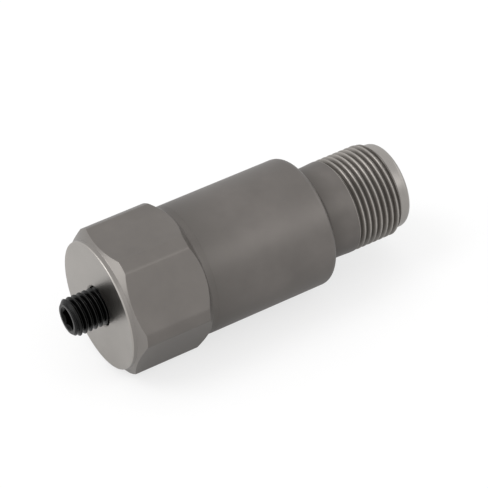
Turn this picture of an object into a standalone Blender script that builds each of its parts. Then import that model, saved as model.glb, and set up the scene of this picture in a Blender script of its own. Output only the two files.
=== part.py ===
"""Industrial vibration sensor: hexagonal base, turned sleeve and threaded two-pin connector.

Metres, +Z up. The sensing axis runs along X, from the mounting stud to the connector, and the
sensor lies on one flat of its hexagon. Distances along the axis are counted from the base face.
"""

import math
from collections import namedtuple

import bmesh
import bpy

# Hexagonal base
HEX_ACROSS_FLATS = 0.0220
HEX_CORNER_CUT = 0.00058  # how far the turned corners fall short of the full hexagon
HEX_LENGTH = 0.01435
BASE_FACE_INSET = 0.00035  # base face rim inside the flats
BASE_BOSS_HEIGHT = 0.00085
FRONT_CHAMFER_ANGLE = 33.0
REAR_CHAMFER_ANGLE = 44.0
COLLAR_STEP = 0.0001  # collar radius below the sleeve's
COLLAR_LENGTH = 0.0010
SPIGOT_LENGTH = 0.00265
EDGE_BREAK = 0.00012

# Mounting stud, 1/4-28 set screw
STUD_MAJOR_RADIUS = 0.00315
STUD_PITCH = 0.0254 / 28
STUD_LENGTH = 0.0127
STUD_OUT = 0.0055
STUD_TIP_CHAMFER = 0.0006
STUD_SOCKET_FLATS = 0.003175
STUD_SOCKET_DEPTH = 0.0032
STUD_HOLE_CLEARANCE = 0.00015
STUD_HOLE_RUN_OUT = 0.0012
STUD_HOLE_MOUTH = 0.00025
STUD_THREAD_START = 0.00052  # from the stud's tip
STUD_THREAD_TURNS = 6
DRILL_POINT_ANGLE = 59.0

# Sleeve
SLEEVE_INSET = 0.0002  # sleeve inside the flats
SLEEVE_WALL = 0.0018
SHOULDER_RADIUS = 0.0014
SHOULDER_WALL = 0.0020
BOARD_HEADROOM = 0.0024

# Connector shell, 5/8-24 thread
SHELL_MAJOR_RADIUS = 0.00788
SHELL_PITCH = 0.0254 / 24
SHELL_THREAD_TURNS = 8
NECK_LENGTH = 0.00533
NECK_RELIEF = 0.0001
ROOT_GROOVE_DEPTH = 0.00035
ROOT_GROOVE_WIDTH = 0.0006
THREAD_END_TURNS = 8.475  # turns from the thread's start to the nose
NOSE_RELIEF = 0.00003
NOSE_LENGTH = 0.0021
NOSE_ROUND = 0.0011
RIM_WIDTH = 0.00015  # flat rim between the nose's round and the socket's chamfer
SOCKET_MOUTH_CHAMFER = 0.00015
SOCKET_DEPTH = 0.0120
LEDGE_WIDTH = 0.0006  # ledge that the insulator rests on
SPIGOT_WALL = 0.0012
KEYWAY_WIDTH = 0.0018
KEYWAY_DEPTH = 0.0006
KEYWAY_STOP = 0.0008  # between the insulator's face and the keyway's end

# Pins and insulator
INSULATOR_LENGTH = 0.0030
PIN_SPACING = 0.0059
PIN_RADIUS = 0.00079
PIN_RECESS = 0.0028  # pin tip below the shell's mouth
PIN_SHOULDER_RADIUS = 0.00115
PIN_SHOULDER_LENGTH = 0.0008
PIN_TAIL_RADIUS = 0.0009
PIN_TAIL_LENGTH = 0.0020
SOLDER_CUP_RADIUS = 0.0005
SOLDER_CUP_DEPTH = 0.0011

# Sensing element, stacked from the base towards the connector
ISOLATION_DISC_THICKNESS = 0.0008
PEDESTAL_FLANGE_THICKNESS = 0.0016
PEDESTAL_SEAT_HEIGHT = 0.0004
POST_SHARE = 0.2632  # of the seismic mass's radius
POST_TIP = 0.0004  # post beyond the nut
POST_SLEEVE_WALL = 0.0003
INSULATOR_WASHER_THICKNESS = 0.0004
PIEZO_THICKNESS = 0.0010
ELECTRODE_THICKNESS = 0.0002
ELECTRODE_TAB_WIDTH = 0.0014
CONTACT_WASHER_THICKNESS = 0.0003
MASS_LENGTH = 0.0032
MASS_SHARE = 0.7403  # of the shield's inner radius, which leaves a channel for the lead
PIEZO_SHARE = 0.8947  # of the seismic mass's radius
SPRING_THICKNESS = 0.00025
SPRING_CONE_HEIGHT = 0.00025
SPRING_RADIUS = 0.0030
NUT_ACROSS_FLATS = 0.0055
NUT_HEIGHT = 0.0018

# Shield, liner and circuit
LINER_WALL = 0.0005
LINER_CLEARANCE = 0.0003
SHIELD_WALL = 0.0004
SHIELD_HEADROOM = 0.0006
SPACER_HEIGHT = 0.0004
SPACER_WIDTH = 0.0010
BOARD_THICKNESS = 0.0010
CHIP_SIZE = (0.0015, 0.0049, 0.0039)
CAPACITOR_SIZE = (0.0012, 0.0032, 0.0016)
CAPACITOR_SPACING = 0.0040
CAPACITOR_INSET = 0.0031  # capacitors' middle from the board's edge
RESISTOR_SIZE = (0.0006, 0.0020, 0.00125)
RESISTOR_SPACING = 0.0032
RESISTOR_INSET = 0.0036  # resistors' middle from the board's edge
CHIP_BEVEL = 0.00015
LEAD_RADIUS = 0.0003
LEAD_HOLE_CLEARANCE = 0.00015
LEAD_PAD_OFFSET = 0.0024  # board pad from the pin, away from the board's centre

# Fits
SEAM_GAP = 0.00005  # welded seams and turned fits
SEAT_GAP = 0.0001  # faces that rest on each other
FIT_GAP = 0.0001  # inner pieces round the post

# Mesh fineness
FINE_SEGMENTS = 48
SHELL_SEGMENTS = 32
STUD_SEGMENTS = 24
SMALL_SEGMENTS = 24
PIN_SEGMENTS = 14
ARC_STEPS = 5

# Unified thread form, in pitches
THREAD_DEPTH = 0.6134
CREST_HALF_WIDTH = 0.0625
ROOT_HALF_WIDTH = 0.083
THREAD_FADE = 0.15  # turns over which a groove starts or ends

# Places along the axis, from the base face
COLLAR_END = HEX_LENGTH + COLLAR_LENGTH
SLEEVE_START = COLLAR_END + SEAM_GAP
SPIGOT_END = COLLAR_END + SPIGOT_LENGTH
ISOLATION_START = SPIGOT_END + SEAT_GAP
PEDESTAL_START = ISOLATION_START + ISOLATION_DISC_THICKNESS + SEAT_GAP
PEDESTAL_TOP = PEDESTAL_START + PEDESTAL_FLANGE_THICKNESS
LOWER_WASHER_START = PEDESTAL_TOP + PEDESTAL_SEAT_HEIGHT + SEAT_GAP
LOWER_PIEZO_START = LOWER_WASHER_START + INSULATOR_WASHER_THICKNESS + SEAT_GAP
ELECTRODE_START = LOWER_PIEZO_START + PIEZO_THICKNESS + SEAT_GAP
UPPER_PIEZO_START = ELECTRODE_START + ELECTRODE_THICKNESS + SEAT_GAP
CONTACT_WASHER_START = UPPER_PIEZO_START + PIEZO_THICKNESS + SEAT_GAP
MASS_START = CONTACT_WASHER_START + CONTACT_WASHER_THICKNESS + SEAT_GAP
SPRING_START = MASS_START + MASS_LENGTH + SEAT_GAP
NUT_START = SPRING_START + SPRING_THICKNESS + SPRING_CONE_HEIGHT + SEAT_GAP
POST_END = NUT_START + NUT_HEIGHT + POST_TIP
SHIELD_START = PEDESTAL_TOP + SEAT_GAP
SHIELD_END = POST_END + SHIELD_HEADROOM + SHIELD_WALL
SPACER_START = SHIELD_END + SEAT_GAP
BOARD_START = SPACER_START + SPACER_HEIGHT + SEAT_GAP
BOARD_TOP = BOARD_START + BOARD_THICKNESS
SHOULDER = BOARD_TOP + BOARD_HEADROOM + SHOULDER_WALL
SLEEVE_ROOF = SHOULDER - SHOULDER_WALL
SHELL_SEAT = SHOULDER + SEAM_GAP
THREAD_START = SHELL_SEAT + NECK_LENGTH
NOSE_START = THREAD_START + THREAD_END_TURNS * SHELL_PITCH
SHELL_END = NOSE_START + NOSE_LENGTH
INSULATOR_FACE = SHELL_END - SOCKET_DEPTH
INSULATOR_START = INSULATOR_FACE - INSULATOR_LENGTH
SHELL_LEDGE = INSULATOR_START - SEAT_GAP
PIN_START = INSULATOR_START - PIN_TAIL_LENGTH - SEAT_GAP
PIN_END = SHELL_END - PIN_RECESS
STUD_HOLE_DEPTH = STUD_LENGTH - STUD_OUT + STUD_HOLE_RUN_OUT

# Radii that follow from the sizes above
HEX_CORNER_RADIUS = HEX_ACROSS_FLATS / math.sqrt(3.0) - HEX_CORNER_CUT
BASE_FACE_RADIUS = HEX_ACROSS_FLATS / 2 - BASE_FACE_INSET
SLEEVE_RADIUS = HEX_ACROSS_FLATS / 2 - SLEEVE_INSET
COLLAR_RADIUS = SLEEVE_RADIUS - COLLAR_STEP
STUD_HOLE_RADIUS = STUD_MAJOR_RADIUS + STUD_HOLE_CLEARANCE
SLEEVE_BORE = SLEEVE_RADIUS - SLEEVE_WALL
LINER_OUTER = SLEEVE_BORE - FIT_GAP
LINER_INNER = LINER_OUTER - LINER_WALL
ISOLATION_RADIUS = LINER_INNER - LINER_CLEARANCE
SHIELD_OUTER = LINER_INNER - LINER_CLEARANCE
SHIELD_INNER = SHIELD_OUTER - SHIELD_WALL
BOARD_RADIUS = LINER_INNER - LINER_CLEARANCE
MASS_RADIUS = MASS_SHARE * SHIELD_INNER
PIEZO_RADIUS = PIEZO_SHARE * MASS_RADIUS
POST_RADIUS = POST_SHARE * MASS_RADIUS
POST_SLEEVE_INNER = POST_RADIUS + FIT_GAP
POST_SLEEVE_OUTER = POST_SLEEVE_INNER + POST_SLEEVE_WALL
RING_BORE = POST_SLEEVE_OUTER + FIT_GAP
SIGNAL_LEAD_RADIUS = (MASS_RADIUS + SHIELD_INNER) / 2
SHELL_ROOT_RADIUS = SHELL_MAJOR_RADIUS - THREAD_DEPTH * SHELL_PITCH
NOSE_RADIUS = SHELL_ROOT_RADIUS - NOSE_RELIEF
NECK_RADIUS = SHELL_MAJOR_RADIUS - NECK_RELIEF
SOCKET_RADIUS = NOSE_RADIUS - NOSE_ROUND - RIM_WIDTH - SOCKET_MOUTH_CHAMFER
REAR_BORE_RADIUS = SOCKET_RADIUS - LEDGE_WIDTH
SPIGOT_RADIUS = REAR_BORE_RADIUS + SPIGOT_WALL
SHOULDER_HOLE_RADIUS = SPIGOT_RADIUS + SEAM_GAP

# The overall length is centred on the origin, and the lowest flat is at Z = 0
AXIS_HEIGHT = HEX_ACROSS_FLATS / 2
BASE_FACE_X = (STUD_OUT - SHELL_END) / 2

Thread = namedtuple("Thread", "major pitch turns start fade_in fade_out")

MATERIALS = {
    "stainless_steel": ((0.46, 0.45, 0.43), 1.0, 0.34),
    "black_oxide_steel": ((0.02, 0.02, 0.022), 0.8, 0.38),
    "insulator_plastic": ((0.05, 0.05, 0.055), 0.0, 0.45),
    "gold_plate": ((0.83, 0.62, 0.25), 1.0, 0.25),
    "alumina": ((0.86, 0.85, 0.80), 0.0, 0.5),
    "piezo_ceramic": ((0.62, 0.58, 0.48), 0.0, 0.6),
    "brass": ((0.72, 0.55, 0.27), 1.0, 0.3),
    "tungsten": ((0.33, 0.33, 0.35), 1.0, 0.4),
    "spring_steel": ((0.38, 0.38, 0.4), 1.0, 0.3),
    "amber_film": ((0.55, 0.28, 0.06), 0.0, 0.35),
    "white_fluoropolymer": ((0.85, 0.85, 0.83), 0.0, 0.4),
    "board_green": ((0.03, 0.2, 0.08), 0.0, 0.4),
    "chip_black": ((0.03, 0.03, 0.03), 0.0, 0.5),
    "capacitor_tan": ((0.5, 0.36, 0.22), 0.0, 0.45),
    "resistor_dark": ((0.04, 0.04, 0.05), 0.0, 0.35),
    "lead_red": ((0.55, 0.03, 0.02), 0.0, 0.45),
    "lead_white": ((0.8, 0.8, 0.78), 0.0, 0.45),
}


def clear_scene():
    for obj in list(bpy.data.objects):
        bpy.data.objects.remove(obj, do_unlink=True)


def sensor_axis():
    """The empty that every piece hangs on: base face centre, X along the sensing axis."""
    empty = bpy.data.objects.new("sensor_axis", None)
    bpy.context.collection.objects.link(empty)
    empty.location = (BASE_FACE_X, 0.0, AXIS_HEIGHT)
    return empty


def material(name):
    if name in bpy.data.materials:
        return bpy.data.materials[name]
    color, metallic, roughness = MATERIALS[name]
    mat = bpy.data.materials.new(name)
    mat.use_nodes = True
    shader = mat.node_tree.nodes["Principled BSDF"]
    shader.inputs["Base Color"].default_value = (*color, 1.0)
    shader.inputs["Metallic"].default_value = metallic
    shader.inputs["Roughness"].default_value = roughness
    return mat


def finish_mesh(bm, name):
    bmesh.ops.recalc_face_normals(bm, faces=bm.faces)
    if bm.calc_volume(signed=True) < 0.0:
        bmesh.ops.reverse_faces(bm, faces=bm.faces)
    mesh = bpy.data.meshes.new(name)
    bm.to_mesh(mesh)
    bm.free()
    mesh.shade_smooth()
    mesh.set_sharp_from_angle(angle=math.radians(28.0))
    return mesh


def add_object(name, mesh, axis, place, slot):
    """Link a piece to the sensor's axis at its place (x, y, z) from the base face."""
    obj = bpy.data.objects.new(name, mesh)
    bpy.context.collection.objects.link(obj)
    obj.parent = axis
    obj.location = place
    if slot is not None:
        obj.data.materials.append(material(slot))
    return obj


def hide_cutter(cutter):
    cutter.hide_render = True
    cutter.display_type = "WIRE"


def boolean(obj, operation, cutter):
    hide_cutter(cutter)
    cut = obj.modifiers.new(operation.lower(), "BOOLEAN")
    cut.operation = operation
    cut.solver = "EXACT"
    cut.object = cutter


def ring(bm, x, radius, segments, turn=0.0):
    """A circle of vertices round the X axis, counted from +Y towards +Z."""
    verts = []
    for k in range(segments):
        angle = turn + 2 * math.pi * k / segments
        verts.append(bm.verts.new((x, radius * math.cos(angle), radius * math.sin(angle))))
    return verts


def join_rings(bm, low, high):
    count = len(low)
    for k in range(count):
        after = (k + 1) % count
        bm.faces.new((low[k], low[after], high[after], high[k]))


def cap_ring(bm, verts, x):
    """Close a ring with one flat face, or with a cone whose tip is at x on the axis."""
    if math.isclose(verts[0].co.x, x, abs_tol=1e-9):
        bm.faces.new(verts)
        return
    centre = bm.verts.new((x, 0.0, 0.0))
    for k, vert in enumerate(verts):
        bm.faces.new((vert, verts[(k + 1) % len(verts)], centre))


def skin_section(bm, section, segments):
    """Rings for a list of (x, radius) points. A point on the axis closes that end."""
    rings = [ring(bm, x, radius, segments) for x, radius in section if radius > 0.0]
    for low, high in zip(rings, rings[1:]):
        join_rings(bm, low, high)
    if section[0][1] == 0.0:
        cap_ring(bm, rings[0], section[0][0])
    if section[-1][1] == 0.0:
        cap_ring(bm, rings[-1], section[-1][0])
    if section[0][1] > 0.0 and section[-1][1] > 0.0:
        join_rings(bm, rings[-1], rings[0])
    return rings


def turned(name, section, segments, axis, place, slot):
    """A lathe piece: a section from axis to axis is solid, a closed section off it is a ring."""
    bm = bmesh.new()
    skin_section(bm, section, segments)
    return add_object(name, finish_mesh(bm, name), axis, place, slot)


def arc(x, radius, size, start, end, steps=ARC_STEPS):
    """Points of a round of the given size, centred on (x, radius), angles in degrees."""
    points = []
    for k in range(steps + 1):
        angle = math.radians(start + (end - start) * k / steps)
        points.append((x + size * math.cos(angle), radius + size * math.sin(angle)))
    return points


def washer_section(inner, outer, length, edge=0.0):
    """Section of a flat ring with broken outer edges."""
    if edge == 0.0:
        return [(0.0, inner), (0.0, outer), (length, outer), (length, inner)]
    return [
        (0.0, inner),
        (0.0, outer - edge),
        (edge, outer),
        (length - edge, outer),
        (length, outer - edge),
        (length, inner),
    ]


def hex_prism(name, across_flats, x_low, x_high, axis):
    """A hexagonal cutter with two flats level."""
    bm = bmesh.new()
    radius = across_flats / math.sqrt(3.0)
    low = ring(bm, x_low, radius, 6)
    high = ring(bm, x_high, radius, 6)
    join_rings(bm, low, high)
    bm.faces.new(low)
    bm.faces.new(high)
    return add_object(name, finish_mesh(bm, name), axis, (0.0, 0.0, 0.0), None)


def bar_cutter(name, radius, x_low, x_high, axis, y=0.0, z=0.0):
    section = [(x_low, 0.0), (x_low, radius), (x_high, radius), (x_high, 0.0)]
    return turned(name, section, PIN_SEGMENTS, axis, (0.0, y, z), None)


def block_mesh(name, size, bevel):
    """A block standing on x = 0, centred on the axis, with bevelled edges."""
    bm = bmesh.new()
    bmesh.ops.create_cube(bm, size=1.0)
    for vert in bm.verts:
        vert.co.x = (vert.co.x + 0.5) * size[0]
        vert.co.y *= size[1]
        vert.co.z *= size[2]
    if bevel > 0.0:
        bmesh.ops.bevel(bm, geom=bm.edges[:], offset=bevel, segments=1, affect="EDGES")
    return finish_mesh(bm, name)


def thread_radius(thread, row_is_root, progress):
    """Crest or root radius, with the groove fading in and out over a part of a turn."""
    if not row_is_root:
        return thread.major
    fade = 1.0
    if thread.fade_in > 0.0:
        fade = min(fade, progress / thread.fade_in)
    if thread.fade_out > 0.0:
        fade = min(fade, (thread.turns - progress) / thread.fade_out)
    return thread.major - THREAD_DEPTH * thread.pitch * max(fade, 0.0)


def helical_skin(bm, low, high, thread, outline):
    """The thread's skin between two plain rings. Its rows run along the helix.

    outline gives the greatest radius at each x, which cuts the thread's ends to their chamfers.
    """
    phases = (CREST_HALF_WIDTH, 0.5 - ROOT_HALF_WIDTH, 0.5 + ROOT_HALF_WIDTH, 1.0 - CREST_HALF_WIDTH)
    per_turn = len(phases)
    count = len(low)
    last = thread.turns * per_turn
    grid = {}

    def vertex(row, column):
        turn, phase = divmod(row, per_turn)
        if column == count and row + per_turn <= last:
            return vertex(row + per_turn, 0)
        if (row, column) not in grid:
            progress = turn + column / count
            x = thread.start + thread.pitch * (progress + phases[phase])
            radius = min(thread_radius(thread, phase in (1, 2), progress), outline(x))
            angle = 2 * math.pi * column / count
            place = (x, radius * math.cos(angle), radius * math.sin(angle))
            grid[(row, column)] = bm.verts.new(place)
        return grid[(row, column)]

    for row in range(last):
        for column in range(count):
            corners = (
                vertex(row, column),
                vertex(row, column + 1),
                vertex(row + 1, column + 1),
                vertex(row + 1, column),
            )
            bm.faces.new(corners)
    for column in range(count - 1):
        bm.faces.new((low[column], low[column + 1], vertex(0, column + 1), vertex(0, column)))
    step = [vertex(row, 0) for row in range(per_turn + 1)]
    fan_faces(bm, vertex(0, count - 1), [low[-1], low[0], *step])
    for column in range(1, count):
        after = (column + 1) % count
        bm.faces.new((vertex(last, column), vertex(last, column + 1), high[after], high[column]))
    step = [vertex(row, count) for row in range(last, last - per_turn - 1, -1)]
    fan_faces(bm, vertex(last, 1), [high[1], high[0], *step])


def fan_faces(bm, apex, chain):
    """Triangles from one vertex to each edge of a chain of vertices."""
    for first, second in zip(chain, chain[1:]):
        bm.faces.new((apex, first, second))


def stud_outline(x):
    tip = STUD_MAJOR_RADIUS - STUD_TIP_CHAMFER
    return min(STUD_MAJOR_RADIUS, tip + x)


def mounting_stud(axis):
    """Set screw with a real helical thread, a hexagon socket and a chamfered tip."""
    bm = bmesh.new()
    count = STUD_SEGMENTS
    low = STUD_THREAD_START
    high = low + STUD_PITCH * (STUD_THREAD_TURNS + 1.2)
    back = STUD_MAJOR_RADIUS - STUD_TIP_CHAMFER
    tip = ring(bm, 0.0, stud_outline(0.0), count)
    cap_ring(bm, tip, 0.0)
    first = ring(bm, low, stud_outline(low), count)
    join_rings(bm, tip, first)
    second = ring(bm, high, STUD_MAJOR_RADIUS, count)
    thread = Thread(STUD_MAJOR_RADIUS, STUD_PITCH, STUD_THREAD_TURNS, low, 0.0, THREAD_FADE)
    helical_skin(bm, first, second, thread, stud_outline)
    shank = ring(bm, STUD_LENGTH - STUD_TIP_CHAMFER, STUD_MAJOR_RADIUS, count)
    join_rings(bm, second, shank)
    end = ring(bm, STUD_LENGTH, back, count)
    join_rings(bm, shank, end)
    cap_ring(bm, end, STUD_LENGTH)
    mesh = finish_mesh(bm, "mounting_stud")
    stud = add_object("mounting_stud", mesh, axis, (-STUD_OUT, 0.0, 0.0), "black_oxide_steel")
    socket_end = STUD_SOCKET_DEPTH - STUD_OUT
    socket = hex_prism("socket_cutter", STUD_SOCKET_FLATS, -2 * STUD_OUT, socket_end, axis)
    boolean(stud, "DIFFERENCE", socket)


def sensor_base(axis):
    """Hexagonal base turned from bar: boss, chamfered hexagon, collar, spigot and tapped hole."""
    front_run = (HEX_CORNER_RADIUS - BASE_FACE_RADIUS) * math.tan(math.radians(FRONT_CHAMFER_ANGLE))
    rear_run = (HEX_CORNER_RADIUS - COLLAR_RADIUS) * math.tan(math.radians(REAR_CHAMFER_ANGLE))
    spigot = SLEEVE_BORE - SEAM_GAP
    drill_point = STUD_HOLE_RADIUS / math.tan(math.radians(DRILL_POINT_ANGLE))
    section = [
        (STUD_HOLE_DEPTH + drill_point, 0.0),
        (STUD_HOLE_DEPTH, STUD_HOLE_RADIUS),
        (STUD_HOLE_MOUTH, STUD_HOLE_RADIUS),
        (0.0, STUD_HOLE_RADIUS + STUD_HOLE_MOUTH),
        (0.0, BASE_FACE_RADIUS - EDGE_BREAK),
        (EDGE_BREAK, BASE_FACE_RADIUS),
        (BASE_BOSS_HEIGHT, BASE_FACE_RADIUS),
        (BASE_BOSS_HEIGHT + front_run, HEX_CORNER_RADIUS),
        (HEX_LENGTH - rear_run, HEX_CORNER_RADIUS),
        (HEX_LENGTH, COLLAR_RADIUS),
        (COLLAR_END, COLLAR_RADIUS),
        (COLLAR_END, spigot),
        (SPIGOT_END - EDGE_BREAK, spigot),
        (SPIGOT_END, spigot - EDGE_BREAK),
        (SPIGOT_END, 0.0),
    ]
    base = turned("sensor_base", section, FINE_SEGMENTS, axis, (0.0, 0.0, 0.0), "stainless_steel")
    hexagon = hex_prism("hexagon_cutter", HEX_ACROSS_FLATS, -HEX_LENGTH, 3 * HEX_LENGTH, axis)
    boolean(base, "INTERSECT", hexagon)


def housing_sleeve(axis):
    """Turned sleeve with a rounded shoulder and the connector's hole."""
    length = SHOULDER - SLEEVE_START
    section = [
        (0.0, SLEEVE_BORE),
        (0.0, SLEEVE_RADIUS - EDGE_BREAK),
        (EDGE_BREAK, SLEEVE_RADIUS),
        *reversed(arc(length - SHOULDER_RADIUS, SLEEVE_RADIUS - SHOULDER_RADIUS, SHOULDER_RADIUS, 0, 90)),
        (length, SHOULDER_HOLE_RADIUS),
        (length - SHOULDER_WALL, SHOULDER_HOLE_RADIUS),
        (length - SHOULDER_WALL, SLEEVE_BORE),
    ]
    place = (SLEEVE_START, 0.0, 0.0)
    turned("housing_sleeve", section, FINE_SEGMENTS, axis, place, "stainless_steel")


def shell_outline(x):
    """Greatest radius of the threaded stretch: the thread's major, then down to the nose."""
    chamfer = SHELL_MAJOR_RADIUS - NOSE_RADIUS
    if x >= NOSE_START:
        return NOSE_RADIUS
    return min(SHELL_MAJOR_RADIUS, SHELL_MAJOR_RADIUS - chamfer + (NOSE_START - x))


def connector_shell(axis):
    """Connector body: spigot, neck, helical thread and nose outside, socket and keyway inside."""
    bm = bmesh.new()
    count = SHELL_SEGMENTS
    groove = NECK_RADIUS - ROOT_GROOVE_DEPTH
    before = [
        (SLEEVE_ROOF, REAR_BORE_RADIUS),
        (SLEEVE_ROOF, SPIGOT_RADIUS),
        (SHELL_SEAT, SPIGOT_RADIUS),
        (SHELL_SEAT, groove),
        (SHELL_SEAT + ROOT_GROOVE_WIDTH, groove),
        (SHELL_SEAT + ROOT_GROOVE_WIDTH + ROOT_GROOVE_DEPTH, NECK_RADIUS),
        (THREAD_START - NECK_RELIEF, NECK_RADIUS),
        (THREAD_START, SHELL_MAJOR_RADIUS),
    ]
    thread_end = THREAD_START + SHELL_PITCH * (SHELL_THREAD_TURNS + 1.12)
    after = [
        (thread_end, NOSE_RADIUS),
        *reversed(arc(SHELL_END - NOSE_ROUND, NOSE_RADIUS - NOSE_ROUND, NOSE_ROUND, 0, 90)),
        (SHELL_END, SOCKET_RADIUS + SOCKET_MOUTH_CHAMFER),
        (SHELL_END - SOCKET_MOUTH_CHAMFER, SOCKET_RADIUS),
        (SHELL_LEDGE, SOCKET_RADIUS),
        (SHELL_LEDGE, REAR_BORE_RADIUS),
    ]
    back_rings = [ring(bm, x, radius, count) for x, radius in before]
    front_rings = [ring(bm, x, radius, count) for x, radius in after]
    for rings in (back_rings, front_rings):
        for low, high in zip(rings, rings[1:]):
            join_rings(bm, low, high)
    join_rings(bm, front_rings[-1], back_rings[0])
    thread = Thread(SHELL_MAJOR_RADIUS, SHELL_PITCH, SHELL_THREAD_TURNS, THREAD_START, THREAD_FADE, 0.0)
    helical_skin(bm, back_rings[-1], front_rings[0], thread, shell_outline)
    mesh = finish_mesh(bm, "connector_shell")
    shell = add_object("connector_shell", mesh, axis, (0.0, 0.0, 0.0), "stainless_steel")
    boolean(shell, "DIFFERENCE", keyway_cutter(axis))


def keyway_cutter(axis):
    """A straight groove along the top of the socket, open at the mouth."""
    length = SHELL_END - INSULATOR_FACE - KEYWAY_STOP
    height = SOCKET_RADIUS + KEYWAY_DEPTH
    mesh = block_mesh("keyway_cutter", (2 * length, KEYWAY_WIDTH, height), 0.0)
    place = (INSULATOR_FACE + KEYWAY_STOP, 0.0, height / 2)
    return add_object("keyway_cutter", mesh, axis, place, None)


def pin_sides():
    return {"a": -PIN_SPACING / 2, "b": PIN_SPACING / 2}


def connector_insulator(axis):
    """Moulded disc that holds the two pins in the shell."""
    section = [
        (0.0, 0.0),
        (0.0, SOCKET_RADIUS - SEAM_GAP),
        (INSULATOR_LENGTH - EDGE_BREAK, SOCKET_RADIUS - SEAM_GAP),
        (INSULATOR_LENGTH, SOCKET_RADIUS - SEAM_GAP - EDGE_BREAK),
        (INSULATOR_LENGTH, 0.0),
    ]
    place = (INSULATOR_START, 0.0, 0.0)
    disc = turned("connector_insulator", section, SHELL_SEGMENTS, axis, place, "insulator_plastic")
    for side, y in pin_sides().items():
        low = INSULATOR_START - INSULATOR_LENGTH
        high = INSULATOR_FACE + INSULATOR_LENGTH
        hole = bar_cutter("pin_hole_" + side, PIN_RADIUS + SEAM_GAP, low, high, axis, y)
        boolean(disc, "DIFFERENCE", hole)


def contact_pins(axis):
    """Solder cup, shoulder behind the insulator, and a pin with a rounded tip."""
    length = PIN_END - PIN_START
    collar = PIN_TAIL_LENGTH - PIN_SHOULDER_LENGTH
    section = [
        (SOLDER_CUP_DEPTH, 0.0),
        (SOLDER_CUP_DEPTH, SOLDER_CUP_RADIUS),
        (0.0, SOLDER_CUP_RADIUS),
        (0.0, PIN_TAIL_RADIUS),
        (collar, PIN_TAIL_RADIUS),
        (collar, PIN_SHOULDER_RADIUS),
        (PIN_TAIL_LENGTH, PIN_SHOULDER_RADIUS),
        (PIN_TAIL_LENGTH, PIN_RADIUS),
        *reversed(arc(length - PIN_RADIUS, 0.0, PIN_RADIUS, 20, 90, 4)),
        (length, 0.0),
    ]
    for side, y in pin_sides().items():
        turned("contact_pin_" + side, section, PIN_SEGMENTS, axis, (PIN_START, y, 0.0), "gold_plate")


def isolation_disc(axis):
    """Ceramic disc that keeps the sensing element clear of the case's potential."""
    length = ISOLATION_DISC_THICKNESS
    section = [(0.0, 0.0), (0.0, ISOLATION_RADIUS), (length, ISOLATION_RADIUS), (length, 0.0)]
    turned("isolation_disc", section, SMALL_SEGMENTS, axis, (ISOLATION_START, 0.0, 0.0), "alumina")


def element_pedestal(axis):
    """Flange, raised seat and threaded post, turned in one piece."""
    flange = PEDESTAL_FLANGE_THICKNESS
    seat = flange + PEDESTAL_SEAT_HEIGHT
    end = POST_END - PEDESTAL_START
    section = [
        (0.0, 0.0),
        (0.0, SHIELD_OUTER),
        (flange, SHIELD_OUTER),
        (flange, PIEZO_RADIUS),
        (seat, PIEZO_RADIUS),
        (seat, POST_RADIUS),
        (end - EDGE_BREAK, POST_RADIUS),
        (end, POST_RADIUS - EDGE_BREAK),
        (end, 0.0),
    ]
    turned("element_pedestal", section, SMALL_SEGMENTS, axis, (PEDESTAL_START, 0.0, 0.0), "stainless_steel")


def post_sleeve(axis):
    """Thin tube that keeps the electrodes off the post."""
    length = SPRING_START - SEAT_GAP - LOWER_WASHER_START
    section = washer_section(POST_SLEEVE_INNER, POST_SLEEVE_OUTER, length)
    place = (LOWER_WASHER_START, 0.0, 0.0)
    turned("post_sleeve", section, SMALL_SEGMENTS, axis, place, "white_fluoropolymer")


def element_rings(axis):
    """The rings that the preload nut clamps, from the pedestal's seat upwards."""
    stack = (
        ("lower_insulating_washer", LOWER_WASHER_START, INSULATOR_WASHER_THICKNESS, "alumina"),
        ("piezo_ring_lower", LOWER_PIEZO_START, PIEZO_THICKNESS, "piezo_ceramic"),
        ("piezo_ring_upper", UPPER_PIEZO_START, PIEZO_THICKNESS, "piezo_ceramic"),
        ("contact_washer", CONTACT_WASHER_START, CONTACT_WASHER_THICKNESS, "brass"),
    )
    for name, start, thickness, slot in stack:
        section = washer_section(RING_BORE, PIEZO_RADIUS, thickness)
        turned(name, section, SMALL_SEGMENTS, axis, (start, 0.0, 0.0), slot)


def signal_electrode(axis):
    """Thin ring between the piezo rings, with a tab for the signal lead on its lower side."""
    section = washer_section(RING_BORE, PIEZO_RADIUS, ELECTRODE_THICKNESS)
    place = (ELECTRODE_START, 0.0, 0.0)
    electrode = turned("signal_electrode", section, SMALL_SEGMENTS, axis, place, "brass")
    inner = PIEZO_RADIUS - LEAD_RADIUS
    outer = SIGNAL_LEAD_RADIUS + LEAD_RADIUS
    mesh = block_mesh("tab_form", (ELECTRODE_THICKNESS, ELECTRODE_TAB_WIDTH, outer - inner), 0.0)
    tab = add_object("tab_form", mesh, axis, (ELECTRODE_START, 0.0, -(outer + inner) / 2), None)
    boolean(electrode, "UNION", tab)


def seismic_mass(axis):
    section = washer_section(RING_BORE, MASS_RADIUS, MASS_LENGTH, 2 * EDGE_BREAK)
    turned("seismic_mass", section, SMALL_SEGMENTS, axis, (MASS_START, 0.0, 0.0), "tungsten")


def disc_spring(axis):
    """Conical spring washer under the preload nut."""
    inner = POST_RADIUS + FIT_GAP
    rise = SPRING_CONE_HEIGHT
    section = [
        (rise, inner),
        (0.0, SPRING_RADIUS),
        (SPRING_THICKNESS, SPRING_RADIUS),
        (rise + SPRING_THICKNESS, inner),
    ]
    turned("disc_spring", section, SMALL_SEGMENTS, axis, (SPRING_START, 0.0, 0.0), "spring_steel")


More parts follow.
